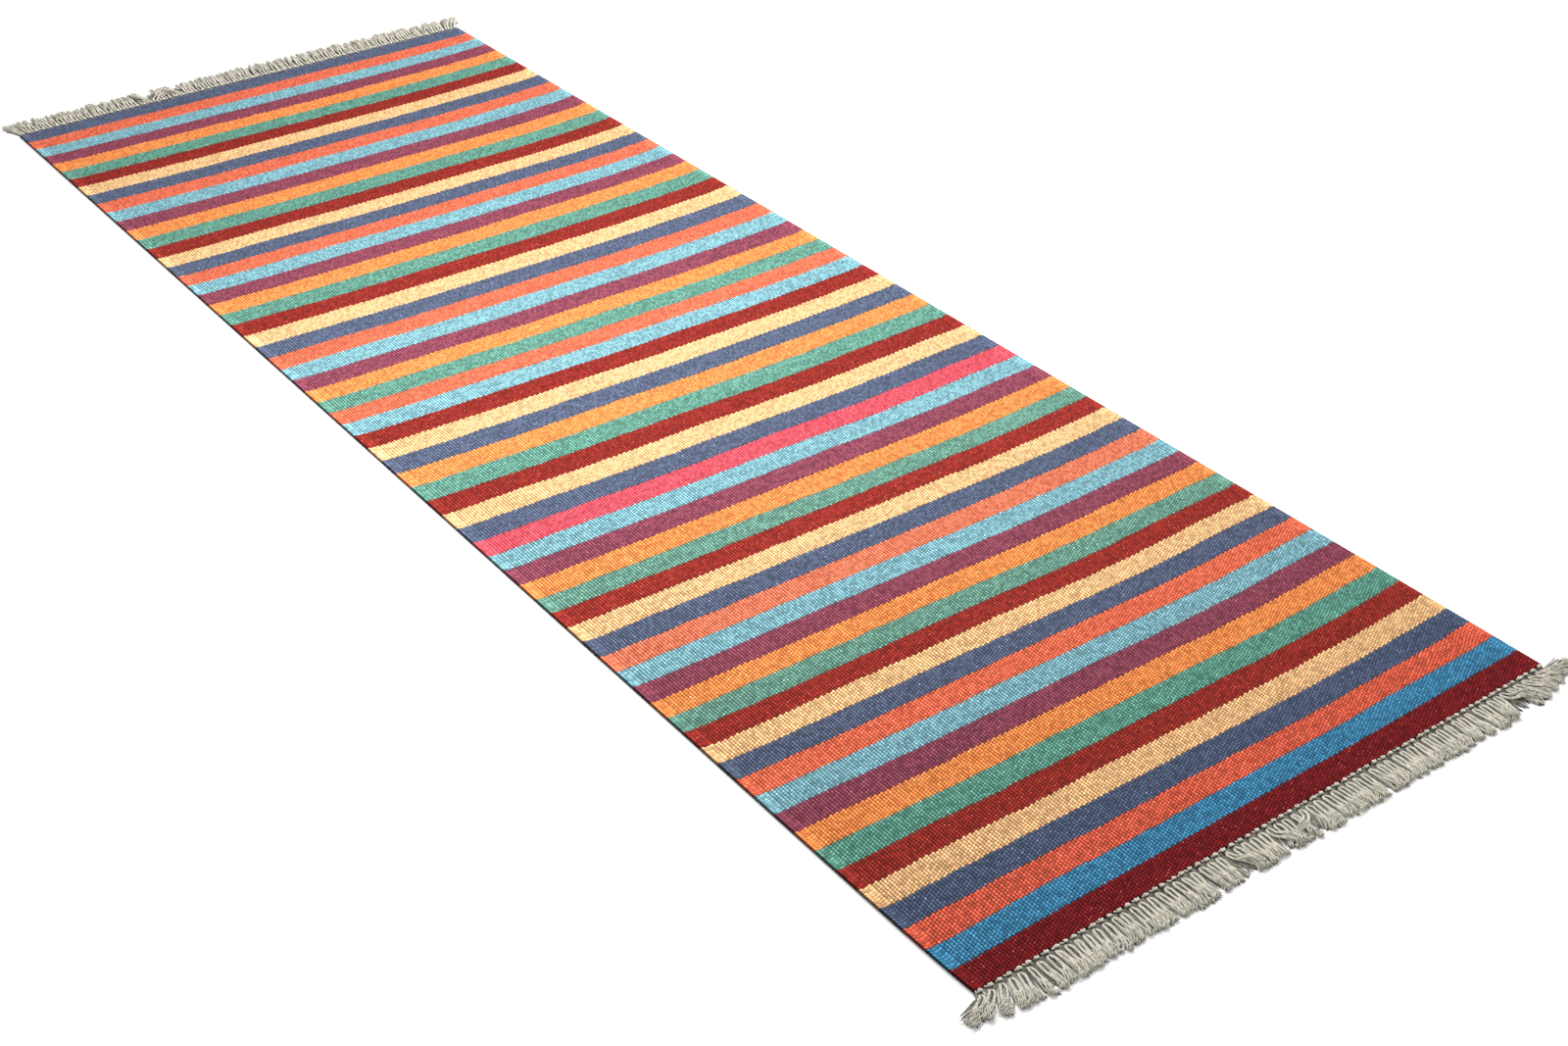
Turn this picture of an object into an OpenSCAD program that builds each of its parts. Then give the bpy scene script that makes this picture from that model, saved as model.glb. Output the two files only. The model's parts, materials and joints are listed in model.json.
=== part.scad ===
// Flatwoven runner rug with crosswise stripes and a knotted fringe at both short ends.
// Origin: on the floor under the centre of the rug. +Y runs along the rug, +X across it, +Z up.
// Every stripe is its own run of weft. The warp yarns pass through all of them in a flat channel,
// the selvedge cords in round ones, and both are tied off in knots and end in fringe tassels.

/* [Rug] */
// Length of the woven body, without the fringe
rug_l = 2445; // [1800:5:3600]
// Thickness of the woven body
rug_t = 4; // [3.5:0.1:5]
// Number of knots across each end: sets the width of the rug
knots = 70; // [50:2:90]

/* [Warp] */
// Distance from one warp yarn to the next
warp_pitch = 4; // [3.5:0.1:5]
// Diameter of a warp yarn
warp_d = 1.5; // [1:0.1:1.8]
// Warp yarns tied into one knot
warps_per_knot = 3; // [3:1:4]

/* [Selvedge] */
// Height of the wrapped selvedge cords at both long edges
selvedge_h = 4.8; // [4:0.1:5]
// Diameter of a bare selvedge cord
cord_d = 3; // [2:0.1:3]
// Cords side by side in each selvedge
cords = 2; // [1:1:2]

/* [Stripes] */
// Width of a stripe near the far end, before all stripes are fitted to the length
stripe_far = 38; // [30:0.1:45]
// Width of a stripe in the middle
stripe_mid = 37.2; // [30:0.1:45]
// Width of a stripe near the near end
stripe_near = 32.8; // [30:0.1:45]
// How far the weaver's beat drifts, as a share of a stripe's width
stripe_drift = 0.04; // [0:0.01:0.1]
// Turn of that drift from one stripe to the next, in degrees
drift_turn = 29.5; // [0:0.5:180]
// Turn of that drift at the far end, in degrees
drift_start = 135; // [0:5:360]

/* [Fringe] */
// Length of the fringe with its knots, beyond the woven body
fringe_l = 48; // [30:1:80]
// Length of a knot along the rug
knot_l = 5; // [4:0.5:8]
// Height of a knot
knot_h = 4.6; // [4.5:0.1:5.5]
// Widest part of a tassel
tassel_w = 9.6; // [6:0.1:10]
// Height of a tassel
tassel_h = 3.6; // [2:0.1:5]
// Sideways reach of the corner tassels' tips at the near end
splay_near = 26; // [0:1:40]
// Sideways reach of the corner tassels' tips at the far end
splay_far = 8; // [0:1:40]

/* [Hidden] */

$fn = 24;

// Running room around each warp yarn and cord
room = 0.1;
// Gap kept between neighbouring knots
knot_gap = 0.8;

// Order of the colours from the far end to the near end. The weaver repeats the full set of eight
// and leaves out a few colours now and then.
FULL_SET = ["navy", "coral", "sky", "plum", "orange", "green", "brick", "cream"];
ORDER = concat(
    FULL_SET, FULL_SET, FULL_SET,
    ["navy", "coral", "sky", "plum", "orange", "green"],
    ["coral", "sky", "brick", "cream"],
    ["navy", "orange", "green", "brick", "cream"],
    ["navy"],
    ["pink", "sky", "plum", "orange", "green", "brick", "cream"],
    FULL_SET, FULL_SET,
    ["navy", "coral", "blue", "burgundy"]
);
stripes = len(ORDER);
// The weaving tightens in two steps, after these stripes
far_stripes = 28;
mid_stripes = 44;

knot_pitch = warps_per_knot * warp_pitch;
rug_w = knots * knot_pitch;
warps = (knots - 2) * warps_per_knot;
cord_pitch = selvedge_h - 0.2;
cord_x = rug_w / 2 - selvedge_h / 2;
channel_w = warps * warp_pitch;
channel_h = warp_d + room;
yarn_z = rug_t / 2;
cord_z = selvedge_h / 2;
knot_end = rug_l / 2 + knot_l;

NAVY = "#5b6888";
CORAL = "#e2704f";
SKY = "#7fbccb";
PLUM = "#8b4459";
ORANGE = "#f69a52";
GREEN = "#5fa38f";
BRICK = "#8e2a25";
CREAM = "#f3cf92";
PINK = "#e8506a";
BLUE = "#2f7fb0";
BURGUNDY = "#6d1f24";
COTTON = "#cdc8bb";

function stripe_base(i) = i < far_stripes ? stripe_far : i < mid_stripes ? stripe_mid : stripe_near;
function stripe_share(i) = stripe_base(i) * (1 + stripe_drift * sin(i * drift_turn + drift_start));
function shares_to(i) = i == 0 ? 0 : shares_to(i - 1) + stripe_share(i - 1);
stripe_scale = rug_l / shares_to(stripes);

// Place of the edge that begins stripe i, counted from the far end
function edge_y(i) = rug_l / 2 - stripe_scale * shares_to(i);

// The two ends of the rug: 1 is the far end, -1 the near end
FAR = 1;
NEAR = -1;

module long_circle(w, h) {
    translate([-(w - h) / 2, -h / 2])
        square([w - h, h]);
    for (side = [-1, 1])
        translate([side * (w - h) / 2, 0])
            circle(d = h);
}

module cord_places(side) {
    for (i = [0 : cords - 1])
        translate([side * (cord_x - i * cord_pitch), cord_z])
            children();
}

// Section of the weave across the rug: a flat body, round selvedges, the warp channel and cord bores
module weft_section() {
    difference() {
        union() {
            translate([-cord_x, 0])
                square([2 * cord_x, rug_t]);
            for (side = [-1, 1])
                cord_places(side)
                    circle(d = selvedge_h);
        }
        translate([-channel_w / 2, yarn_z - channel_h / 2])
            square([channel_w, channel_h]);
        for (side = [-1, 1])
            cord_places(side)
                circle(d = cord_d + room);
    }
}

module along_rug(y_start, length) {
    translate([0, y_start, 0])
        rotate([90, 0, 0])
            linear_extrude(length)
                children();
}

module stripes_of(yarn) {
    for (i = [0 : stripes - 1])
        if (ORDER[i] == yarn)
            along_rug(edge_y(i), edge_y(i) - edge_y(i + 1))
                weft_section();
}

module weft_navy() {
    color(NAVY) stripes_of("navy");
}

module weft_coral() {
    color(CORAL) stripes_of("coral");
}

module weft_sky() {
    color(SKY) stripes_of("sky");
}

module weft_plum() {
    color(PLUM) stripes_of("plum");
}

module weft_orange() {
    color(ORANGE) stripes_of("orange");
}

module weft_green() {
    color(GREEN) stripes_of("green");
}

module weft_brick() {
    color(BRICK) stripes_of("brick");
}

module weft_cream() {
    color(CREAM) stripes_of("cream");
}

module weft_pink() {
    color(PINK) stripes_of("pink");
}

module weft_blue() {
    color(BLUE) stripes_of("blue");
}

module weft_burgundy() {
    color(BURGUNDY) stripes_of("burgundy");
}

// All warp yarns run straight through the stripes and the knots
module warp_yarns() {
    color(COTTON)
        for (i = [0 : warps - 1])
            translate([(i - (warps - 1) / 2) * warp_pitch, knot_end, yarn_z])
                rotate([90, 0, 0])
                    cylinder(d = warp_d, h = 2 * knot_end);
}

module selvedge_cords(side) {
    color(COTTON)
        along_rug(knot_end, 2 * knot_end)
            cord_places(side)
                circle(d = cord_d);
}

module selvedge_cords_left() {
    selvedge_cords(-1);
}

module selvedge_cords_right() {
    selvedge_cords(1);
}

// A knot is a flat loop drawn tight round its warp yarns
module warp_knot() {
    bundle_w = (warps_per_knot - 1) * warp_pitch + channel_h;
    difference() {
        translate([0, knot_h / 2])
            long_circle(knot_pitch - knot_gap, knot_h);
        translate([0, yarn_z])
            long_circle(bundle_w, channel_h);
    }
}

// The cords of one selvedge share a knot, as high as the wrapped selvedge
module selvedge_knot(side) {
    difference() {
        translate([side * (cord_x - (cords - 1) * cord_pitch / 2), cord_z])
            long_circle((cords - 1) * cord_pitch + selvedge_h, selvedge_h);
        cord_places(side)
            circle(d = cord_d + room);
    }
}

module knot_row(end) {
    color(COTTON)
        along_rug(end * (rug_l / 2 + knot_l / 2) + knot_l / 2, knot_l) {
            for (i = [1 : knots - 2])
                translate([(i - (knots - 1) / 2) * knot_pitch, 0])
                    warp_knot();
            for (side = [-1, 1])
                selvedge_knot(side);
        }
}

module knots_near() {
    knot_row(NEAR);
}

module knots_far() {
    knot_row(FAR);
}

// A tassel seen from above: it fills out below the knot, thins to its tip and leans sideways
tassel_steps = 10;
neck_share = 0.6;
tip_share = 0.35;
splay_power = 6;
tip_play = 0.14;

function tassel_half(t) =
    tassel_w / 2 * (t < 0.5
        ? neck_share + (1 - neck_share) * sin(180 * t)
        : tip_share + (1 - tip_share) * sin(180 * t));

module tassel(x, end, splay, length) {
    lean = sign(x) * splay * pow(2 * abs(x) / rug_w, splay_power);
    side_points = [for (i = [0 : tassel_steps]) i / tassel_steps];
    polygon(concat(
        [for (t = side_points) [x + lean * t * t - tassel_half(t), end * length * t]],
        [for (i = [tassel_steps : -1 : 0])
            let (t = side_points[i]) [x + lean * t * t + tassel_half(t), end * length * t]]
    ));
}

module fringe(end, splay) {
    longest = fringe_l - knot_l;
    color(COTTON)
        translate([0, end * knot_end, 0])
            linear_extrude(tassel_h)
                for (i = [0 : knots - 1])
                    tassel(
                        (i - (knots - 1) / 2) * knot_pitch, end, splay,
                        longest * (1 - tip_play * (0.5 - 0.5 * sin(i * 90)))
                    );
}

module fringe_near() {
    fringe(NEAR, splay_near);
}

module fringe_far() {
    fringe(FAR, splay_far);
}

weft_navy();
weft_coral();
weft_sky();
weft_plum();
weft_orange();
weft_green();
weft_brick();
weft_cream();
weft_pink();
weft_blue();
weft_burgundy();
warp_yarns();
selvedge_cords_left();
selvedge_cords_right();
knots_near();
knots_far();
fringe_near();
fringe_far();
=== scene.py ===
"""The looks of a flatwoven runner rug: wool weft stripes over cotton warps, knots and a fringe.

Lengths are in metres. Coordinates are the CAD frame's: X across the rug, Y along it, Z up.
"""

import json
import math

import bpy
import numpy as np
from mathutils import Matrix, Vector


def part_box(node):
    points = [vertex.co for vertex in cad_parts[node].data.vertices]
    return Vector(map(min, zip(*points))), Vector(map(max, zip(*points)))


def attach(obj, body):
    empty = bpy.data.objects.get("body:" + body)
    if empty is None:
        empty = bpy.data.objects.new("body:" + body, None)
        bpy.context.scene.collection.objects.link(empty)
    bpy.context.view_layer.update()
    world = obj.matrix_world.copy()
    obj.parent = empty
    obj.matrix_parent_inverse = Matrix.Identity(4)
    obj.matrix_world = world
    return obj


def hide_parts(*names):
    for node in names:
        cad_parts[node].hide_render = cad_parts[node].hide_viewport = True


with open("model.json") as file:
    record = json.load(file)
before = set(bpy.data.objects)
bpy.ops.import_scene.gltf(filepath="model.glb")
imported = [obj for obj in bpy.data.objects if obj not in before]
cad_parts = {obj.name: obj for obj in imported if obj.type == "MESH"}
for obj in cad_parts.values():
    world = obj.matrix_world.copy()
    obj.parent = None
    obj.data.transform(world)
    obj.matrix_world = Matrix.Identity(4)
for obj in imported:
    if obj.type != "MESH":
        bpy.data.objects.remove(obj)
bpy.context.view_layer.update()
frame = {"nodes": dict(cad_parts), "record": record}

MM = 0.001
LEFT, RIGHT = -1, 1
NEAR, FAR = -1, 1
SEED = 1873
KNOT_SEED = SEED + 7
FRINGE_SEED = SEED + 31

# ---------------------------------------------------------------- sizes, from the frame
WEFT_NODES = sorted(n for n in frame["nodes"] if n.startswith("weft_"))
HALF_W = max(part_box(n)[1].x for n in WEFT_NODES)
HALF_L = max(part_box(n)[1].y for n in WEFT_NODES)
SELVEDGE_D = max(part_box(n)[1].z for n in WEFT_NODES)
# Counts, and how far one wrapped cord lies into the next, as in the CAD
KNOTS = 70
WARPS_PER_KNOT = 3
KNOT_PITCH = 2 * HALF_W / KNOTS
RIB_PITCH = KNOT_PITCH / WARPS_PER_KNOT
RIBS = (KNOTS - 2) * WARPS_PER_KNOT
CORD_X = HALF_W - SELVEDGE_D / 2
CORD_OVERLAP = 0.2 * MM
CORD_PITCH = SELVEDGE_D - CORD_OVERLAP
FRINGE_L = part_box("fringe_far")[1].y - HALF_L

# ---------------------------------------------------------------- the weave
# Height of a rib, and of the furrow beside it on the top and on the underside
RIB_TOP = 4.0 * MM
GROOVE_TOP = 2.8 * MM
GROOVE_BACK = 0.8 * MM
# From a rib's middle to its shoulders, in rib widths and in metres
SHOULDER_U = 0.22
SHOULDER = SHOULDER_U * RIB_PITCH
# A bead is the bulge of weft between two dips along a rib: its length, the depth of the dips, how
# uneven it is, how far it lies askew, and how far beads on neighbouring ribs are set off
BEAD_PITCH = 3.9 * MM
BEAD_SINK = 0.75 * MM
BEAD_JITTER = 0.09 * MM
BEAD_SLANT = 0.35 * MM
TOOTH = 0.23 * BEAD_PITCH
ROWS_PER_BEAD = 3
YARNS_PER_BEAD = 3
# Beads between two rows of points on the underside
BACK_BEADS = 3
# (top, underside) between the cords, on the inner cord, and between it and the first rib
CORD_VALLEY = (4.0 * MM, 1.0 * MM)
INNER_CORD = (4.6 * MM, 0.15 * MM)
RIB_VALLEY = (3.5 * MM, 0.9 * MM)
# (degrees round the outer cord from its inner side, share of that rib's width)
OUTER_TURNS = ((178, 0.02), (140, 0.2), (105, 0.42), (62, 0.72))
# Ribs left of the first warp, for the two cords
CORD_RIBS = 2
# Share of the dips between beads that shows in a valley, and at the rug's edge
VALLEY_SINK = 0.1
EDGE_SINK = 0.7

# How far, in millimetres, the weft lines rise at the left edge, and more at the middle of its length;
# at the right edge, and more in its far half; and how far they sag in between in the near half
LEFT_LIFT, LEFT_BULGE = 7, 6
RIGHT_LIFT, RIGHT_BULGE = 3, 10
SAG = 3.5
# How far the right edge bows out, and the left one draws in at its near corner
RIGHT_BOW = 2.5 * MM
CORNER_DRAW = 3.0 * MM
# A stripe edge's wander, its finer ripple, and the drift that it shares with its neighbours
EDGE_WANDER = 1.1 * MM
EDGE_RIPPLE = 0.8 * MM
EDGE_DRIFT = 1.8 * MM
# Seeds count places along the rug from this far before its middle, so that none is negative
SEED_START = 5


def stripe_ranges(node):
    """The (low y, high y) of each stripe in a CAD weft node."""
    mesh = frame["nodes"][node].data
    points = np.empty(len(mesh.vertices) * 3)
    mesh.vertices.foreach_get("co", points)
    edges = np.unique(points.reshape(-1, 3)[:, 1].round(5))
    return list(zip(edges[0::2], edges[1::2]))


def waves(t, generator, shortest, longest, count=6):
    """A smooth random line along t: a few sine waves, about 1 high at most."""
    total = np.zeros_like(t)
    for _ in range(count):
        length = shortest * (longest / shortest) ** generator.random()
        phase = generator.random() * 2 * math.pi
        total = total + np.sin(2 * math.pi * t / length + phase)
    return total / count


def smooth(t):
    t = np.clip(t, 0, 1)
    return t * t * (3 - 2 * t)


def weft_bow(x, y):
    """How far the weft lines rise towards the far end: the beat was looser at both selvedges."""
    left = np.clip(-x / HALF_W, 0, 1) ** 1.6
    right = np.clip(x / HALF_W, 0, 1) ** 4
    left_lift = (LEFT_LIFT + LEFT_BULGE * np.exp(-((y + 0.05) / 0.4) ** 2)) * MM
    right_lift = (RIGHT_LIFT + RIGHT_BULGE * smooth((y - 0.05) / 0.3)) * MM
    sag = SAG * MM * np.exp(-((x - 0.18) / 0.14) ** 2) * smooth((0.35 - y) / 0.5)
    fade = smooth((HALF_L - abs(y)) / 0.11)
    return (left * left_lift + right * right_lift - sag) * fade


def edge_bow(x, y):
    """How far the long edges run off straight: bowed out on the right, drawn in at a near corner."""
    right = np.clip(x / HALF_W, 0, 1) ** 2 * RIGHT_BOW * (1 - (y / HALF_L) ** 2)
    left = np.clip(-x / HALF_W, 0, 1) ** 4 * CORNER_DRAW * np.exp(-(y + HALF_L) / 0.05)
    return right + left


def seed_at(y, places_per_metre):
    """A seed of its own for each place along the rug."""
    return SEED + int(round((y + SEED_START) * places_per_metre))


class StripeEdges:
    """The wavy line where one stripe meets the next, the same for both."""

    def __init__(self):
        self.lines = {}

    def line(self, y, x):
        key = round(float(y), 5)
        if key not in self.lines:
            generator = np.random.default_rng(seed_at(key, 1e5))
            shared = np.random.default_rng(SEED)
            wander = EDGE_WANDER * waves(x, generator, 0.08, 0.4)
            ripple = EDGE_RIPPLE * waves(x, generator, 0.03, 0.08, 4)
            drift = EDGE_DRIFT * waves(x + 0.6 * key, shared, 0.25, 0.7)
            calm = smooth((HALF_L - abs(key)) / 0.06)
            waver = calm * (wander + drift) + (0.4 + 0.6 * calm) * ripple
            self.lines[key] = key + weft_bow(x, key) + waver
        return self.lines[key]


stripe_edges = StripeEdges()


def weave_columns():
    """The weave's section from the left edge to the right one, as arrays: x, top z, underside z, share
    of the dip between beads, which way the beads are set off, their slant, and u, which counts ribs."""
    rows = []

    def add(x, top, back, sink, tooth, slant, u):
        rows.append((x, top, back, sink, tooth, slant, u))

    radius = SELVEDGE_D / 2
    outer = -CORD_X
    inner = outer + CORD_PITCH
    first = -(RIBS - 1) / 2 * RIB_PITCH
    u = -CORD_RIBS
    for angle, share in OUTER_TURNS:
        turn = math.radians(angle)
        top = radius + radius * math.sin(turn)
        back = radius - radius * math.sin(turn)
        add(outer + radius * math.cos(turn), top, back, EDGE_SINK, 1, 0, u + share)
    add((outer + inner) / 2, *CORD_VALLEY, VALLEY_SINK, 0, 0, u + 1)
    for side in (LEFT, RIGHT):
        add(inner + side * 0.25 * CORD_PITCH, *INNER_CORD, 1, -1, side, u + 1.5 + 0.25 * side)
    add((inner + radius + first - RIB_PITCH / 2) / 2, *RIB_VALLEY, VALLEY_SINK, 0, 0, u + 2)
    selvedge = list(rows)
    for i in range(RIBS):
        centre = first + i * RIB_PITCH
        tooth = 1 if i % 2 == 0 else -1
        for side in (LEFT, RIGHT):
            add(centre + side * SHOULDER, RIB_TOP, 0, 1, tooth, side, i + 0.5 + side * SHOULDER_U)
        if i < RIBS - 1:
            add(centre + RIB_PITCH / 2, GROOVE_TOP, GROOVE_BACK, VALLEY_SINK, 0, 0, i + 1)
    for x, top, back, sink, tooth, slant, u in reversed(selvedge):
        rows.append((-x, top, back, sink, -tooth, -slant, RIBS - u))
    return [np.array(c) for c in zip(*rows)]


COL_X, COL_TOP, COL_BACK, COL_SINK, COL_TOOTH, COL_SLANT, COL_U = weave_columns()


def grid_faces(first, rows, columns, flip=False):
    """Quads over a grid of points numbered row by row from first."""
    r, c = np.meshgrid(np.arange(rows - 1), np.arange(columns - 1), indexing="ij")
    a = first + r * columns + c
    quads = np.stack([a, a + 1, a + columns + 1, a + columns], -1).reshape(-1, 4)
    return quads[:, ::-1] if flip else quads


def strip_faces(low, high, flip=False):
    """Quads between two lines of points."""
    quads = np.stack([low[:-1], low[1:], high[1:], high[:-1]], -1)
    return quads[:, ::-1] if flip else quads


def stripe_shell(y_low, y_high):
    """One stripe of weft as a closed shell: points, (u, v) of each point, and faces by size."""
    beads = max(2, round((y_high - y_low) / BEAD_PITCH))
    rows = beads * ROWS_PER_BEAD + 1
    columns = len(COL_X)
    generator = np.random.default_rng(seed_at(y_low, 1e4))
    low = stripe_edges.line(y_low, COL_X)
    high = stripe_edges.line(y_high, COL_X)
    share = np.linspace(0, 1, rows)[:, None]
    y = low + (high - low) * share + TOOTH * COL_TOOTH + BEAD_SLANT * COL_SLANT
    x = np.broadcast_to(COL_X, y.shape)
    x = x + edge_bow(x, y)
    valley = (np.arange(rows) % ROWS_PER_BEAD == 0)[:, None]
    rough = generator.normal(0, BEAD_JITTER, (rows, columns)) * ~valley * COL_SINK
    top = COL_TOP - BEAD_SINK * COL_SINK * valley + rough
    front = np.stack([x, y, top], -1).reshape(-1, 3)

    kept = np.unique(np.append(np.arange(0, rows, ROWS_PER_BEAD * BACK_BEADS), rows - 1))
    back_z = np.broadcast_to(COL_BACK, (len(kept), columns))
    back = np.stack([x[kept], y[kept], back_z], -1).reshape(-1, 3)
    first_bead = round((y_low + HALF_L) / BEAD_PITCH)
    v = first_bead + np.arange(rows) / ROWS_PER_BEAD
    front_uv = np.stack(np.broadcast_arrays(COL_U, v[:, None]), -1).reshape(-1, 2)
    back_uv = np.stack(np.broadcast_arrays(COL_U, v[kept][:, None]), -1).reshape(-1, 2)

    base = rows * columns
    last = (len(kept) - 1) * columns
    across = np.arange(columns)
    quads = [
        grid_faces(0, rows, columns),
        grid_faces(base, len(kept), columns, flip=True),
        strip_faces(base + across, across),
        strip_faces(base + last + across, (rows - 1) * columns + across, flip=True),
    ]
    sides = []
    for i in range(len(kept) - 1):
        along = np.arange(kept[i], kept[i + 1] + 1) * columns
        for column, flip in ((0, False), (columns - 1, True)):
            ring = np.concatenate([[base + (i + 1) * columns], [base + i * columns], along]) + column
            sides.append(ring[::-1] if flip else ring)
    return np.vstack([front, back]), np.vstack([front_uv, back_uv]), [np.vstack(quads)], sides


def mesh_piece(name, points, faces, uv, material):
    """A smooth mesh object from arrays. faces is a list of arrays, each of faces of one size."""
    mesh = bpy.data.meshes.new(name)
    mesh.vertices.add(len(points))
    mesh.vertices.foreach_set("co", points.astype(np.float32).ravel())
    loops = np.concatenate([f.ravel() for f in faces]).astype(np.int32)
    sizes = np.concatenate([np.full(len(f), f.shape[1]) for f in faces])
    starts = np.concatenate([[0], np.cumsum(sizes)[:-1]]).astype(np.int32)
    mesh.loops.add(len(loops))
    mesh.loops.foreach_set("vertex_index", loops)
    mesh.polygons.add(len(sizes))
    mesh.polygons.foreach_set("loop_start", starts)
    mesh.update(calc_edges=True)
    layer = mesh.uv_layers.new(name="weave")
    layer.uv.foreach_set("vector", uv[loops].astype(np.float32).ravel())
    mesh.shade_smooth()
    mesh.materials.append(material)
    piece = bpy.data.objects.new(name, mesh)
    bpy.context.scene.collection.objects.link(piece)
    return piece


def add_to_rug(piece, node):
    """Attaches the piece to the rug's root body and hides the CAD node that it replaces."""
    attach(piece, "root")
    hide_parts(node)
    return piece


def joined(shells):
    """Several shells as one set of arrays."""
    points, uvs, quads, sides = [], [], [], {}
    count = 0
    for shell_points, shell_uv, shell_quads, shell_sides in shells:
        points.append(shell_points)
        uvs.append(shell_uv)
        quads += [q + count for q in shell_quads]
        for ring in shell_sides:
            sides.setdefault(len(ring), []).append(ring + count)
        count += len(shell_points)
    faces = [np.vstack(quads)] + [np.array(s) for s in sides.values()]
    return np.vstack(points), faces, np.vstack(uvs)


# ---------------------------------------------------------------- materials
SLOT_COLOURS = {m["slot"]: m["base_color"] for m in frame["record"]["materials"]}


def slot_colour(slot):
    return tuple(SLOT_COLOURS[slot])[:3] + (1,)


class Nodes:
    """A material's node tree, with short calls for adding nodes."""

    def __init__(self, name):
        self.material = bpy.data.materials.new(name)
        self.material.use_nodes = True
        self.tree = self.material.node_tree
        self.shader = self.tree.nodes["Principled BSDF"]

    def put(self, socket, value):
        """Feeds a socket from another one, or with a plain value."""
        if isinstance(value, bpy.types.NodeSocket):
            self.tree.links.new(value, socket)
        else:
            socket.default_value = value

    def node(self, kind, **options):
        """A new node with the given properties."""
        node = self.tree.nodes.new(kind)
        for name, value in options.items():
            setattr(node, name, value)
        return node

    def math(self, operation, a, b=0.0):
        node = self.node("ShaderNodeMath", operation=operation)
        self.put(node.inputs[0], a)
        self.put(node.inputs[1], b)
        return node.outputs[0]

    def product(self, first, *others):
        for other in others:
            first = self.math("MULTIPLY", first, other)
        return first

    def off_middle(self, value):
        """How far a count is from the middle of its unit: 0 there, 0.5 at both ends."""
        return self.math("ABSOLUTE", self.math("SUBTRACT", self.math("FRACT", value), 0.5))

    def wave(self, turns):
        return self.math("SINE", self.math("MULTIPLY", turns, 2 * math.pi))

    def between(self, value, low, high, to_low=0.0, to_high=1.0):
        """value taken smoothly from the range low to high to the range to_low to to_high."""
        node = self.node("ShaderNodeMapRange", interpolation_type="SMOOTHSTEP")
        for socket, number in zip(node.inputs[:5], (value, low, high, to_low, to_high)):
            self.put(socket, number)
        return node.outputs[0]

    def height(self):
        """Height above the floor."""
        return self.parts(self.node("ShaderNodeNewGeometry").outputs["Position"])[2]

    def vector(self, x, y, z=0.0):
        node = self.node("ShaderNodeCombineXYZ")
        for socket, number in zip(node.inputs, (x, y, z)):
            self.put(socket, number)
        return node.outputs[0]

    def stretched(self, x, y, scales):
        """A place for a noise, with its own scale along each of x and y."""
        return self.vector(self.math("MULTIPLY", x, scales[0]), self.math("MULTIPLY", y, scales[1]))

    def parts(self, vector):
        node = self.node("ShaderNodeSeparateXYZ")
        self.put(node.inputs[0], vector)
        return node.outputs

    def noise(self, vector, detail=2.0):
        """Smooth noise from 0 to 1 with one bump per unit of the vector."""
        node = self.node("ShaderNodeTexNoise")
        self.put(node.inputs["Vector"], vector)
        node.inputs["Scale"].default_value = 1.0
        node.inputs["Detail"].default_value = detail
        return node.outputs["Fac"]

    def weave(self):
        """The piece's own u and v, as its geometry gives them."""
        return self.parts(self.node("ShaderNodeUVMap", uv_map="weave").outputs[0])[:2]

    def cells(self, vector):
        """A random value from 0 to 1 for each vector."""
        node = self.node("ShaderNodeTexWhiteNoise", noise_dimensions="3D")
        self.put(node.inputs["Vector"], vector)
        return node.outputs["Value"]

    def mix(self, share, a, b):
        """Colour a, giving way to b as the share rises."""
        node = self.node("ShaderNodeMix", data_type="RGBA")
        self.put(node.inputs["Factor"], share)
        self.put(node.inputs[6], a)
        self.put(node.inputs[7], b)
        return node.outputs[2]

    def scaled(self, colour, amount):
        node = self.node("ShaderNodeVectorMath", operation="SCALE")
        self.put(node.inputs[0], colour if isinstance(colour, bpy.types.NodeSocket) else colour[:3])
        self.put(node.inputs["Scale"], amount)
        return node.outputs[0]

    def bump(self, height, distance):
        node = self.node("ShaderNodeBump")
        node.inputs["Distance"].default_value = distance
        node.inputs["Strength"].default_value = 0.8
        self.put(node.inputs["Height"], height)
        self.put(self.shader.inputs["Normal"], node.outputs[0])

    def set_sheen(self, weight, specular):
        self.shader.inputs["Sheen Weight"].default_value = weight
        self.shader.inputs["Sheen Roughness"].default_value = 0.5
        self.shader.inputs["Specular IOR Level"].default_value = specular

    def varied(self, *terms):
        """1 plus each (value from 0 to 1, amount) spread about its middle."""
        total = 1.0
        for value, amount in terms:
            centred = self.math("SUBTRACT", value, 0.5)
            total = self.math("ADD", self.math("MULTIPLY", centred, amount), total)
        return total


# How much the tone of wool varies: from bead to bead, over wide patches, and from fibre to fibre
BEAD_TONE = 0.66
CLOUD_TONE = 0.25
FIBRE_TONE = 0.6
# Noise scales of the streaks, patches and fibres: per rib, and per weft pass, bead and bead
STREAK_SCALES = (0.07, 5.3)
CLOUD_SCALES = (0.02, 0.33)
FIBRE_SCALES = (3, 15)
# Beads by which the fibres slant over the width of one rib
FIBRE_SLANT = 0.35
# Which of a bead's random values is its tone, and which its chance to be a fleck
TONE_DRAW = 1.5
FLECK_DRAW = 7.5
# How much flecks keep to the lighter streaks
FLECK_CLUSTER = 0.2
# The light left between beads, between ribs, beside the selvedges, underneath and on the outer flank
GAP_LIGHT = 0.28
FURROW_LIGHT = 0.14
SELVEDGE_LIGHT = 0.7
UNDER_LIGHT = 0.12
FLANK_LIGHT = 0.1


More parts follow.
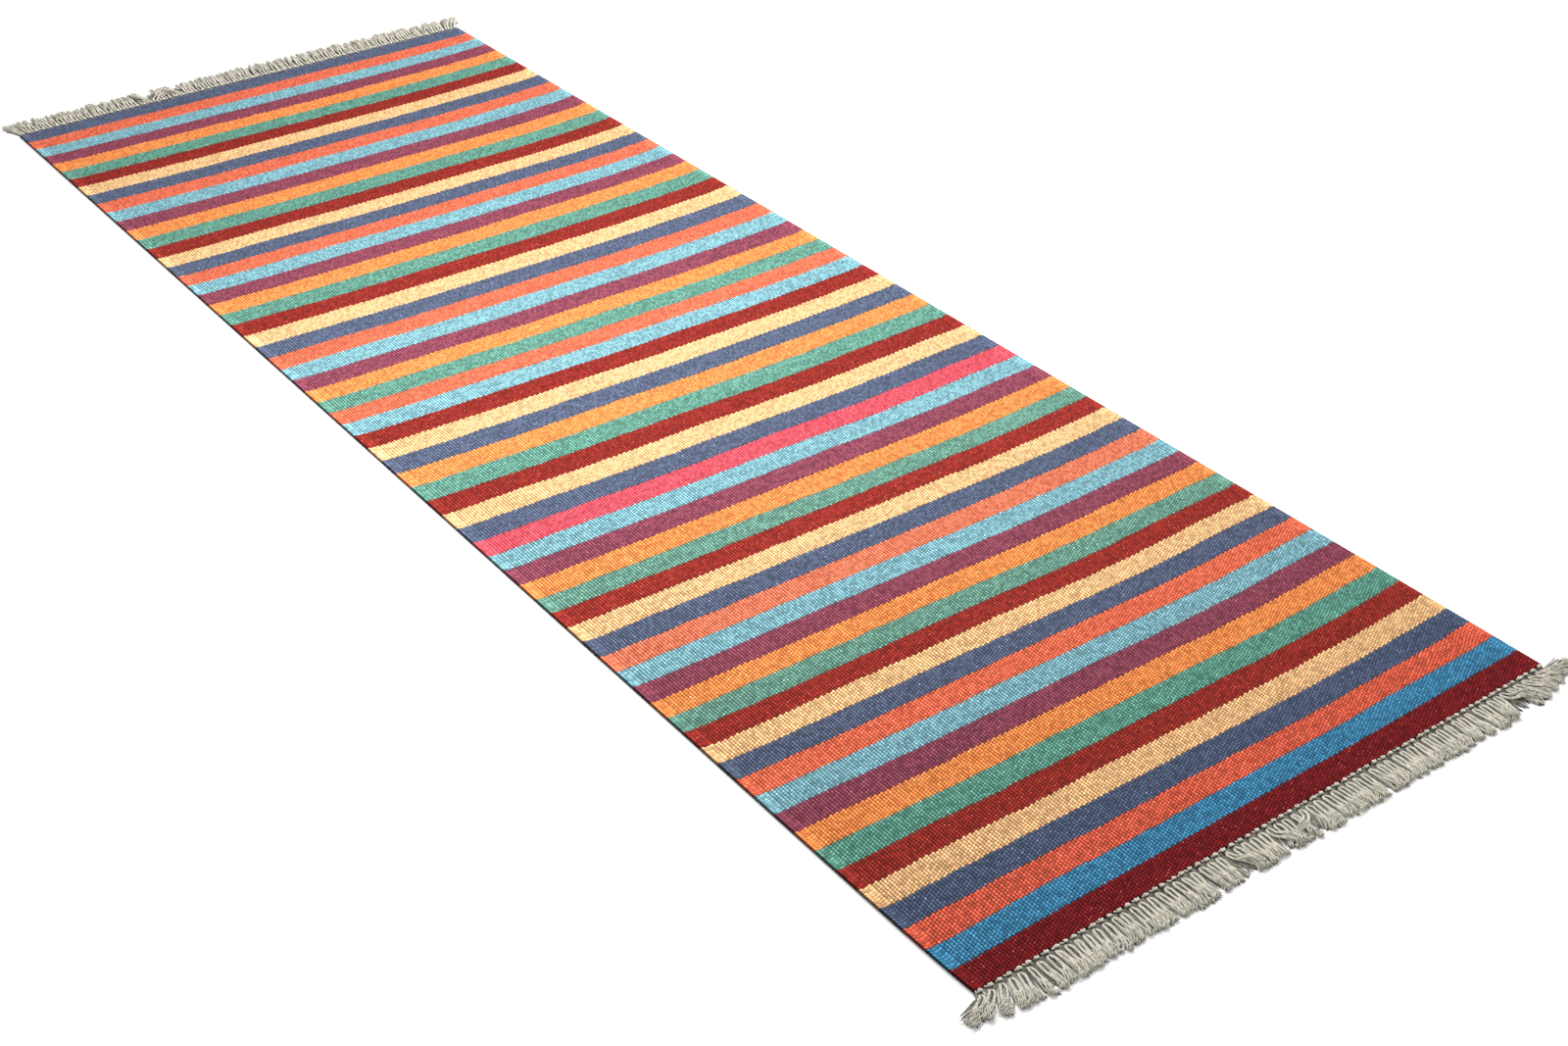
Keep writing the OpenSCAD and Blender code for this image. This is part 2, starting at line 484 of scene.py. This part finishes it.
def wool_light(n, u, across, along):
    """The share of light that reaches the wool, less in every gap and hollow."""
    from_middle = n.math("ABSOLUTE", n.math("SUBTRACT", u, RIBS / 2))
    last_rib = RIBS / 2
    furrow_light = n.between(from_middle, last_rib - 0.6, last_rib - 0.1, FURROW_LIGHT, SELVEDGE_LIGHT)
    furrow = n.between(across, 0.24, 0.48, 1.0, furrow_light)
    gap = n.between(along, 0.24, 0.5, 1.0, GAP_LIGHT)
    under = n.between(n.height(), 1.2 * MM, 3.2 * MM, UNDER_LIGHT, 1.0)
    flank = n.between(from_middle, last_rib + 1.5, last_rib + 1.8, 1.0, FLANK_LIGHT)
    return n.product(furrow, gap, under, flank)


def dyed(n, colour, v, batches):
    """The yarn's colour along the rug, one dye batch after another."""
    dye = colour
    for batch_y, tint in batches:
        begins = (batch_y + HALF_L) / BEAD_PITCH
        batch = tuple(np.clip(np.array(colour[:3]) * tint, 0, 1)) + (1,)
        dye = n.mix(n.math("LESS_THAN", v, begins), dye, batch)
    return dye


def wool(name, colour, fleck, fleck_share, streaks, batches):
    """Weft wool: a tone for each bead of yarn, streaks along each pass, flecks, and painted shade in every
    gap and hollow.
    """
    n = Nodes(name)
    u, v = n.weave()
    rib = n.math("FLOOR", u)
    bead = n.math("FLOOR", v)
    odd_rib = n.math("MODULO", n.math("ADD", rib, CORD_RIBS), 2)
    weft_pass = n.math("ADD", n.math("MULTIPLY", bead, 2), odd_rib)
    tone = n.cells(n.vector(rib, bead, TONE_DRAW))
    chance = n.cells(n.vector(rib, bead, FLECK_DRAW))
    streak = n.noise(n.stretched(u, weft_pass, STREAK_SCALES))
    cloud = n.noise(n.stretched(u, v, CLOUD_SCALES), detail=3)
    slanted = n.math("ADD", v, n.math("MULTIPLY", u, FIBRE_SLANT))
    fibre = n.noise(n.stretched(u, slanted, FIBRE_SCALES), detail=4)
    value = n.varied((tone, BEAD_TONE), (streak, streaks), (cloud, CLOUD_TONE), (fibre, FIBRE_TONE))
    across = n.off_middle(u)
    along = n.off_middle(v)
    # Painted shade: the share of light from wool_light darkens the base colour
    shade = n.product(value, wool_light(n, u, across, along))

    likely = n.math("ADD", chance, n.math("MULTIPLY", n.math("SUBTRACT", streak, 0.5), FLECK_CLUSTER))
    is_fleck = n.math("GREATER_THAN", likely, 1 - fleck_share)
    narrow = n.between(across, 0.25, 0.4, 1.0, 0.0)
    short = n.between(along, 0.06, 0.2, 0.8, 0.0)
    coloured = n.mix(n.product(is_fleck, narrow, short), dyed(n, colour, v, batches), fleck)
    n.put(n.shader.inputs["Base Color"], n.scaled(coloured, shade))
    n.put(n.shader.inputs["Roughness"], n.between(fibre, 0.2, 0.8, 0.75, 0.95))
    twist = n.wave(n.math("MULTIPLY", slanted, YARNS_PER_BEAD))
    n.bump(n.math("ADD", n.math("MULTIPLY", twist, 0.2), fibre), 0.45 * MM)
    n.set_sheen(0.25, specular=0.06)
    n.shader.inputs["Sheen Tint"].default_value = colour
    return n.material


# Painted shade: the colour given to cotton low down between the other yarns, where little light gets
PAINTED_SHADE_COTTON = (0.05, 0.037, 0.02, 1)
# Plies in a cotton yarn, the length over which one goes round, and its light in and out of the groove
PLIES = 3
PLY_TURN = 7 * MM
PLY_LIGHT = (0.8, 1.12)
# How much the tone of cotton varies from yarn to yarn and from fibre to fibre, and the fibres' scales
YARN_TONE = 0.3
COTTON_FIBRE_TONE = 0.3
COTTON_FIBRE_SCALES = (9, 160)


def cotton(name, slot, low, high):
    """Undyed cotton yarn: fine fibres along the yarn, with painted shade that darkens it from height high
    down to height low.
    """
    n = Nodes(name)
    u, v = n.weave()
    yarn = n.cells(n.vector(n.math("FLOOR", u), 3.0))
    fibre = n.noise(n.stretched(u, v, COTTON_FIBRE_SCALES), detail=4)
    ply = n.wave(n.math("ADD", n.math("MULTIPLY", u, PLIES), n.math("MULTIPLY", v, 1 / PLY_TURN)))
    groove = n.between(ply, -1.0, 0.0, *PLY_LIGHT)
    value = n.product(n.varied((yarn, YARN_TONE), (fibre, COTTON_FIBRE_TONE)), groove)
    # Painted shade: below height high the colour is mixed towards a dark brown
    out_of_painted_shade = n.between(n.height(), low, high)
    colour_up_high = n.scaled(slot_colour(slot), value)
    n.put(n.shader.inputs["Base Color"], n.mix(out_of_painted_shade, PAINTED_SHADE_COTTON, colour_up_high))
    n.put(n.shader.inputs["Roughness"], n.between(fibre, 0.2, 0.8, 0.8, 0.98))
    n.bump(n.math("ADD", n.math("MULTIPLY", ply, 0.5), fibre), 0.3 * MM)
    n.set_sheen(0.3, specular=0.1)
    return n.material


# Fleck colour, share of beads that are flecks, and strength of the streaks, for each wool
WOOL_LOOKS = {
    "navy": ((0.30, 0.36, 0.50, 1), 0.02, 0.35),
    "coral": ((0.95, 0.40, 0.28, 1), 0.03, 0.30),
    "sky": ((0.55, 0.80, 0.80, 1), 0.05, 0.60),
    "plum": ((0.45, 0.16, 0.24, 1), 0.03, 0.35),
    "orange": ((0.98, 0.55, 0.25, 1), 0.04, 0.35),
    "green": ((0.35, 0.62, 0.52, 1), 0.05, 0.50),
    "brick": ((0.50, 0.12, 0.08, 1), 0.07, 0.50),
    "cream": ((0.95, 0.75, 0.45, 1), 0.02, 0.20),
    "pink": ((0.95, 0.30, 0.30, 1), 0.04, 0.30),
    "blue": ((0.16, 0.45, 0.60, 1), 0.04, 0.50),
    "burgundy": ((0.42, 0.10, 0.07, 1), 0.07, 0.50),
}

# Dye batches: nearer than the y that is given, the yarn has its slot's colour times the given tint
BATCHES = {
    "navy": [(-1.08, (0.86, 0.91, 0.96))],
    "coral": [(-0.5, (1.02, 1.24, 1.28)), (-0.8, (1.04, 0.97, 0.94)), (-1.08, (0.95, 0.77, 0.79))],
    "green": [(-0.4, (1.17, 1.02, 1.02)), (-0.9, (0.94, 1.03, 1.02))],
    "brick": [(-0.3, (1.14, 1.18, 1.16))],
    "blue": [(-1.08, (1.18, 1.06, 1.03))],
}


def make_weft():
    """Each colour's stripes, in two pieces of every other stripe, as from two bobbins of that yarn."""
    made = []
    for node in WEFT_NODES:
        yarn = node.removeprefix("weft_")
        slot = "wool_" + yarn
        material = wool(yarn + "_wool", slot_colour(slot), *WOOL_LOOKS[yarn], BATCHES.get(yarn, []))
        ranges = stripe_ranges(node)
        groups = {node + "_stripe": ranges}
        if len(ranges) > 1:
            groups = {node + "_odd": ranges[0::2], node + "_even": ranges[1::2]}
        for name, group in groups.items():
            points, faces, uv = joined([stripe_shell(low, high) for low, high in group])
            piece = mesh_piece(name, points, faces, uv, material)
            made.append(add_to_rug(piece, node))
    return made


# ---------------------------------------------------------------- yarns as tubes
# The share of its unit of u that a tube uses
TUBE_U = 0.98


def tubes(paths, radius, sides, squash):
    """Closed tubes along paths, an array of (tube, ring, xyz). radius fits (tube, ring), and squash is
    a tube's height as a share of its width."""
    count, rings, _ = paths.shape
    tangent = np.gradient(paths, axis=1)
    tangent /= np.linalg.norm(tangent, axis=2, keepdims=True) + 1e-12
    side = np.cross(tangent, np.array([0.0, 0.0, 1.0]))
    side /= np.linalg.norm(side, axis=2, keepdims=True) + 1e-9
    up = np.cross(side, tangent)
    angle = np.arange(sides) / sides * 2 * math.pi
    ring = side[:, :, None] * np.cos(angle)[:, None] + squash * up[:, :, None] * np.sin(angle)[:, None]
    wide = np.broadcast_to(radius, (count, rings))[:, :, None, None]
    points = (paths[:, :, None] + ring * wide).reshape(-1, 3)

    t, r, s = np.meshgrid(np.arange(count), np.arange(rings - 1), np.arange(sides), indexing="ij")
    first = t * rings * sides
    here = first + r * sides + s
    beside = first + r * sides + (s + 1) % sides
    quads = np.stack([here, beside, beside + sides, here + sides], -1).reshape(-1, 4)[:, ::-1]
    start = np.arange(count)[:, None] * rings * sides + np.arange(sides)
    caps = np.vstack([start, (start + (rings - 1) * sides)[:, ::-1]])
    return points, quads, caps


def tube_uv(count, rings, sides, lengths):
    """u counts the tubes and turns round each without reaching the next, v is the distance along it."""
    number = np.arange(count)[:, None, None] + (np.arange(sides) + 0.5)[None, None] / sides * TUBE_U
    along = lengths[:, :, None]
    shape = (count, rings, sides)
    return np.stack([np.broadcast_to(number, shape), np.broadcast_to(along, shape)], -1).reshape(-1, 2)


def yarn_piece(name, bundles, sides, material, squash):
    """Tubes as one mesh. bundles is a list of (paths, radii), each of tubes with one ring count."""
    all_points, all_quads, all_caps, all_uv = [], [], [], []
    count = 0
    for paths, radius in bundles:
        points, quads, caps = tubes(paths, radius, sides, squash)
        steps = np.linalg.norm(np.diff(paths, axis=1), axis=2)
        lengths = np.concatenate([np.zeros((len(paths), 1)), np.cumsum(steps, 1)], 1)
        all_uv.append(tube_uv(paths.shape[0], paths.shape[1], sides, lengths))
        all_points.append(points)
        all_quads.append(quads + count)
        all_caps.append(caps + count)
        count += len(points)
    faces = [np.vstack(all_quads), np.vstack(all_caps)]
    return mesh_piece(name, np.vstack(all_points), faces, np.vstack(all_uv), material)


def bent(paths):
    """The paths moved sideways as the cloth's long edges are."""
    moved = paths.copy()
    moved[..., 0] += edge_bow(paths[..., 0], paths[..., 1])
    return moved


WARP_Z = RIB_TOP / 2
# A warp yarn's half width and half height, pressed flat by the weft
WARP_R = 1.3 * MM
WARP_FLAT = 0.75 * MM
# From the weave to where the warps meet in the knots, and how close together they are drawn there
DRAW_L = 2.4 * MM
DRAWN = 0.75
WARP_RINGS = 15


def make_warps(material):
    """The warp yarns: straight through the weave, then drawn together into the knots."""
    outside = np.array([DRAW_L / 2, DRAW_L])
    inside = np.linspace(-HALF_L, HALF_L, WARP_RINGS)
    along = np.concatenate([-HALF_L - outside[::-1], inside, HALF_L + outside])
    number = np.arange(RIBS)
    x = (number - (RIBS - 1) / 2) * RIB_PITCH
    knot_x = (number // WARPS_PER_KNOT + 1 - (KNOTS - 1) / 2) * KNOT_PITCH
    drawn = smooth((abs(along) - HALF_L) / DRAW_L) * DRAWN
    paths = np.zeros((RIBS, len(along), 3))
    paths[..., 0] = x[:, None] + (knot_x - x)[:, None] * drawn
    paths[..., 1] = along
    paths[..., 2] = WARP_Z
    bundles = [(bent(paths), WARP_R)]
    piece = yarn_piece("warp_yarns_cotton", bundles, 8, material, squash=WARP_FLAT / WARP_R)
    return add_to_rug(piece, "warp_yarns")


CORDS = 2
# The length over which a cord's plies go round, and how far it runs on into the knot
CORD_TURN = 60 * MM
CORD_END = 3 * MM
CORD_RINGS = 241
CORD_PLY_R = 0.7 * MM
# How far a cord's plies lie off its middle, sideways and in height, and how far the cord sinks
PLY_OFF_X = 0.7 * MM
PLY_OFF_Z = 0.55 * MM
CORD_LOW = 0.2 * MM


def make_selvedge_cords(side, node, material):
    """The two cords inside one selvedge, each of three plies twisted together."""
    along = np.linspace(-HALF_L - CORD_END, HALF_L + CORD_END, CORD_RINGS)
    paths = []
    for cord in range(CORDS):
        centre = side * (CORD_X - cord * CORD_PITCH)
        for ply in range(PLIES):
            angle = along / CORD_TURN * 2 * math.pi + ply / PLIES * 2 * math.pi
            x = centre + PLY_OFF_X * np.cos(angle)
            z = SELVEDGE_D / 2 + PLY_OFF_Z * np.sin(angle) - CORD_LOW
            paths.append(np.stack([x, along, z], -1))
    piece = yarn_piece(node + "_plied", [(bent(np.array(paths)), CORD_PLY_R)], 6, material, squash=1)
    return add_to_rug(piece, node)


# Middle of a knot, its reach across, up and along the rug, and the lowest that its yarn runs
KNOT_Y = HALF_L + 2.6 * MM
KNOT_Z = 3.3 * MM
KNOT_REACH = (2.3 * MM, 2.0 * MM, 1.0 * MM)
KNOT_LOWEST = 1.5 * MM
KNOT_RINGS = 40


def make_knots(end, node, material):
    """A row of overhand knots, each tied in the warps' own ends."""
    generator = np.random.default_rng(KNOT_SEED + end)
    t = np.linspace(0, 2 * math.pi, KNOT_RINGS)
    reach_x, reach_z, reach_y = KNOT_REACH
    paths = []
    for k in range(KNOTS):
        centre = (k - (KNOTS - 1) / 2) * KNOT_PITCH + generator.normal(0, 0.7 * MM)
        size = generator.uniform(0.75, 1.15)
        lean = generator.uniform(-0.5, 0.5)
        across = (np.sin(t + lean) + 2 * np.sin(2 * t + lean)) / 3 * reach_x * size
        high = (np.cos(t) - 2 * np.cos(2 * t)) / 3 * reach_z * size
        out = -np.sin(3 * t) * reach_y
        lift = generator.uniform(-0.2, 0.35) * MM
        y = end * (KNOT_Y + generator.normal(0, 0.25 * MM) + out)
        paths.append(np.stack([centre + across, y, np.maximum(KNOT_Z + lift + high, KNOT_LOWEST)], -1))
    radius = generator.uniform(1.2, 1.4, KNOTS)[:, None] * MM
    piece = yarn_piece(node + "_tied", [(bent(np.array(paths)), radius)], 7, material, squash=1)
    return add_to_rug(piece, node)


# ---------------------------------------------------------------- the fringe
# A tassel has so many strands of so many filaments, and loose fibres underneath
STRANDS = 4
FILAMENTS = 6
FRINGE_RINGS = 17
LOW_FILAMENTS = 14
LOW_RINGS = 9
# From the weave to where a tassel leaves its knot
TASSEL_ROOT = 5.0 * MM
# How far along a tassel its arch ends, and over what length it turns to its own heading
ARCH_L = 6 * MM
TURN_L = 11 * MM
# The length over which a strand's twist goes round
STRAND_TURN = 8 * MM
# How far filaments lie from the middle of a strand before it opens
STRAND_R = 0.66 * MM
# The angle, in degrees, that the tassels at a corner lie off straight, and how far in that reaches
CORNER_LEAN = {
    (NEAR, LEFT): (62, 40 * MM),
    (NEAR, RIGHT): (84, 44 * MM),
    (FAR, LEFT): (16, 30 * MM),
    (FAR, RIGHT): (30, 25 * MM),
}
# At each end: how high the tassels' loose ends lie, how much longer they were left, how many degrees
# they wander, and the share of them that lie across their neighbours
LOFT = {NEAR: 2.2 * MM, FAR: 6.0 * MM}
LONGER = {NEAR: 0.0, FAR: 6.0 * MM}
WANDER = {NEAR: 7, FAR: 4}
CROSSING = {NEAR: 0.1, FAR: 0.03}
# The part of the fringe that counts as its corner
CORNER = 50 * MM


def tassel_lean(x, end, generator):
    """The angle at which each tassel lies: fanned out at the corners, wandering in between."""
    wander = WANDER[end] * (waves(x, generator, 0.1, 0.3, 4) + generator.normal(0, 0.4, len(x)))
    fan = np.zeros(len(x))
    share = np.zeros(len(x))
    for side in (LEFT, RIGHT):
        angle, reach = CORNER_LEAN[end, side]
        inward = HALF_W - side * x
        near_corner = np.exp(-(np.maximum(inward - 6 * MM, 0) / reach) ** 1.3)
        fan += side * angle * near_corner
        share += near_corner
    return np.radians(fan + wander * (1 - share))


def laid(s, heading, offset, root, centre, end):
    """Places on the floor at distance s along tassels that start at root and turn to heading."""
    step = np.diff(s, axis=-1, prepend=0)
    out = root + np.cumsum(step * np.cos(heading), -1)
    aside = np.cumsum(step * np.sin(heading), -1)
    x = centre + aside + offset * np.cos(heading)
    y = end * (HALF_L + out - offset * np.sin(heading))
    return x, y


def ramp(s, start, length):
    """Rises smoothly from 0 to 1 along a tassel, from start over length, both in millimetres."""
    return smooth((s - start * MM) / (length * MM))


def tassel_filaments(end, tassel_x, lean, length, generator):
    """Twisted strands that leave the knot in an arch and open into loose ends: paths and radii of
    their filaments."""
    draw = generator.uniform
    shape = (KNOTS, STRANDS, FILAMENTS, 1)
    per_tassel = (KNOTS, 1, 1, 1)
    per_strand = (KNOTS, STRANDS, 1, 1)
    leg = np.array([-1, -1, 1, 1]).reshape(1, STRANDS, 1, 1)
    pair = np.array([-1, 1, -1, 1]).reshape(1, STRANDS, 1, 1)
    inside = abs(tassel_x) < HALF_W - CORNER
    crossing = (inside & (generator.random(KNOTS) < CROSSING[end])).reshape(per_tassel)
    bushy = 1 + 0.9 * (~inside).reshape(per_tassel)
    sweep = crossing * (generator.choice([-1, 1], KNOTS) * draw(0.7, 1.1, KNOTS)).reshape(per_tassel)
    own_length = length.reshape(per_tassel) * draw(0.94, 1.02, per_strand) * draw(0.96, 1.01, shape)
    s = np.linspace(0, 1, FRINGE_RINGS) ** 1.25 * own_length

    # The way it heads: its tassel's lean, a sweep across its neighbours, and a fan at the loose end
    late = ramp(s, 5, 14)
    fan = ramp(s, 13, 20)
    heading = lean.reshape(per_tassel) * smooth(s / TURN_L)
    heading = heading + sweep * late * (1 - 0.5 * ramp(s, 25, 15))
    heading = heading + (draw(-0.3, 0.3, per_strand) + draw(-0.12, 0.12, shape)) * fan

    # Its strand's place sideways: two legs that part at the knot, each of a pair of strands
    arch = smooth(s / ARCH_L) ** 0.6
    opening = 1 - 0.3 * ramp(s, 14, 12)
    width = draw(1.7, 2.9, per_tassel) * draw(0.9, 1.15, per_strand)
    offset = draw(-1.0, 1.0, per_tassel) * MM + leg * (0.6 * MM + width * MM * arch * opening)
    offset = offset + pair * (0.5 * MM + 0.9 * MM * fan)

    # Its strand's height: over a belly near the knot to its layer in the fringe
    belly = draw(0.3, 1.5, per_strand) * MM * np.exp(-((s - draw(6, 11, per_strand) * MM) / (5 * MM)) ** 2)
    layer = 1.1 * MM + draw(0, 1, per_strand) * LOFT[end] + crossing * 2.0 * MM * late
    height = 1.5 * MM + belly + (layer - 1.3 * MM) * ramp(s, 7, 16)

    # Its place in the strand: twisted at first, then loose
    turns = s / STRAND_TURN * (1 - 0.35 * ramp(s, 16, 20))
    number = np.arange(FILAMENTS).reshape(1, 1, FILAMENTS, 1)
    angle = 2 * math.pi * (turns + number / FILAMENTS) + draw(0, 2 * math.pi, per_strand)
    spread = STRAND_R + fan * draw(0.4, 2.4, shape) * MM * bushy
    offset = offset + spread * np.cos(angle)
    height = height + (STRAND_R + 0.35 * fan * LOFT[end]) * np.sin(angle)

    radius = (0.62 - 0.04 * fan) * MM * np.clip((own_length * 1.01 - s) / (3 * MM), 0.35, 1) ** 0.5
    height = np.maximum(height, radius * 0.95)
    x, y = laid(s, heading, offset, TASSEL_ROOT, tassel_x.reshape(per_tassel), end)
    return np.stack([x, y, height], -1).reshape(-1, FRINGE_RINGS, 3), radius.reshape(-1, FRINGE_RINGS)


def low_filaments(end, tassel_x, lean, length, generator):
    """Loose fibres lying on the floor, under and between the tassels, held closer together at the corners,
    low enough that the cotton's painted shade makes them a dark ground between the tassels: paths and
    radii."""
    draw = generator.uniform
    shape = (KNOTS, LOW_FILAMENTS, 1)
    per_tassel = (KNOTS, 1, 1)
    own_length = length.reshape(per_tassel) * draw(0.8, 0.98, shape)
    s = np.linspace(0, 1, LOW_RINGS) * own_length
    heading = lean.reshape(per_tassel) * smooth((s - TASSEL_ROOT) / TURN_L)
    heading = heading + draw(-0.08, 0.08, shape) * s / (10 * MM)
    place = (np.arange(LOW_FILAMENTS).reshape(1, -1, 1) + 0.5) / LOW_FILAMENTS - 0.5
    reach = np.where(abs(tassel_x) < HALF_W - CORNER / 2, 1.0, 0.8).reshape(per_tassel)
    offset = place * reach * KNOT_PITCH * (0.75 + 0.3 * ramp(s, 0, 8) + 0.5 * s / FRINGE_L)
    radius = draw(0.4, 0.6, shape) * MM * np.clip((own_length * 1.01 - s) / (4 * MM), 0.4, 1)
    height = radius + draw(0, 0.5, shape) * MM
    x, y = laid(s, heading, offset, 0.2 * MM, tassel_x.reshape(per_tassel), end)
    return np.stack([x, y, height], -1).reshape(-1, LOW_RINGS, 3), radius.reshape(-1, LOW_RINGS)


def make_fringe(end, node, material):
    """All tassels of one end."""
    generator = np.random.default_rng(FRINGE_SEED + end)
    tassel_x = (np.arange(KNOTS) - (KNOTS - 1) / 2) * KNOT_PITCH
    lean = tassel_lean(tassel_x, end, generator)
    longest = FRINGE_L - TASSEL_ROOT + LONGER[end]
    length = longest * (0.97 + 0.06 * waves(tassel_x, generator, 0.03, 0.12, 4))
    bundles = [
        tassel_filaments(end, tassel_x, lean, length, generator),
        low_filaments(end, tassel_x, lean, length, generator),
    ]
    piece = yarn_piece(node + "_tassels", bundles, 5, material, squash=1)
    return add_to_rug(piece, node)


# ---------------------------------------------------------------- studio
def make_camera():
    """The camera that the photo's perspective gives: the near end is on the right, seen from above."""
    data = bpy.data.cameras.new("camera")
    data.lens = 49.57
    data.sensor_width = 36
    camera = bpy.data.objects.new("camera", data)
    turn = math.radians(36.645)
    tilt = math.radians(33.63)
    distance = 2.6525
    aim = (-0.0907, -0.489, RIB_TOP)
    camera.location = (
        aim[0] - distance * math.cos(tilt) * math.sin(turn),
        aim[1] - distance * math.cos(tilt) * math.cos(turn),
        aim[2] + distance * math.sin(tilt),
    )
    camera.rotation_euler = (math.pi / 2 - tilt, 0, -turn)
    bpy.context.scene.collection.objects.link(camera)
    bpy.context.scene.camera = camera


def area_light(name, place, aim, size, power):
    """A square lamp that shines at aim and doesn't show in the picture itself."""
    data = bpy.data.lights.new(name, "AREA")
    data.size = size
    data.energy = power
    light = bpy.data.objects.new(name, data)
    light.visible_camera = False
    light.location = place
    towards = np.array(aim) - np.array(place)
    flat = math.hypot(towards[0], towards[1])
    heading = math.atan2(towards[1], towards[0])
    light.rotation_euler = (math.atan2(flat, -towards[2]), 0, heading - math.pi / 2)
    bpy.context.scene.collection.objects.link(light)


def make_studio():
    """A pale floor, an even surround, a soft lamp high beyond the far right corner and one overhead."""
    n = Nodes("pale_floor")
    n.shader.inputs["Base Color"].default_value = (0.93, 0.93, 0.93, 1)
    n.shader.inputs["Roughness"].default_value = 0.9
    size = 12.0
    corners = np.array([[-1, -1, 0], [1, -1, 0], [1, 1, 0], [-1, 1, 0]], float) * size
    floor = mesh_piece("floor", corners, [np.array([[0, 1, 2, 3]])], corners[:, :2], n.material)
    world = bpy.data.worlds.new("studio")
    world.use_nodes = True
    world.node_tree.nodes["Background"].inputs["Color"].default_value = (1, 1, 1, 1)
    world.node_tree.nodes["Background"].inputs["Strength"].default_value = 0.7
    bpy.context.scene.world = world
    area_light("key", (1.7, 1.3, 2.4), aim=(0, 0, 0), size=1.0, power=102)
    area_light("top", (-0.17, -0.05, 1.0), aim=(-0.17, -0.04, 0), size=0.8, power=18)
    bpy.context.scene.view_settings.view_transform = "Standard"
    # The denoiser's own prefilter takes the weave for noise
    bpy.context.scene.cycles.denoising_prefilter = "NONE"


# ---------------------------------------------------------------- the object
make_camera()
make_studio()
weft = make_weft()
# Each cotton gets painted shade, from the higher of its two heights down to the lower one
warp_cotton = cotton("warp_cotton", "warp_cotton", 0.3 * MM, 1.2 * MM)
knot_cotton = cotton("knot_cotton", "fringe_cotton", 3.6 * MM, 5.4 * MM)
tassel_cotton = cotton("fringe_cotton", "fringe_cotton", 0.5 * MM, 2.6 * MM)
warps = make_warps(warp_cotton)
ends = [
    make_selvedge_cords(LEFT, "selvedge_cords_left", warp_cotton),
    make_selvedge_cords(RIGHT, "selvedge_cords_right", warp_cotton),
    make_knots(NEAR, "knots_near", knot_cotton),
    make_knots(FAR, "knots_far", knot_cotton),
    make_fringe(NEAR, "fringe_near", tassel_cotton),
    make_fringe(FAR, "fringe_far", tassel_cotton),
]
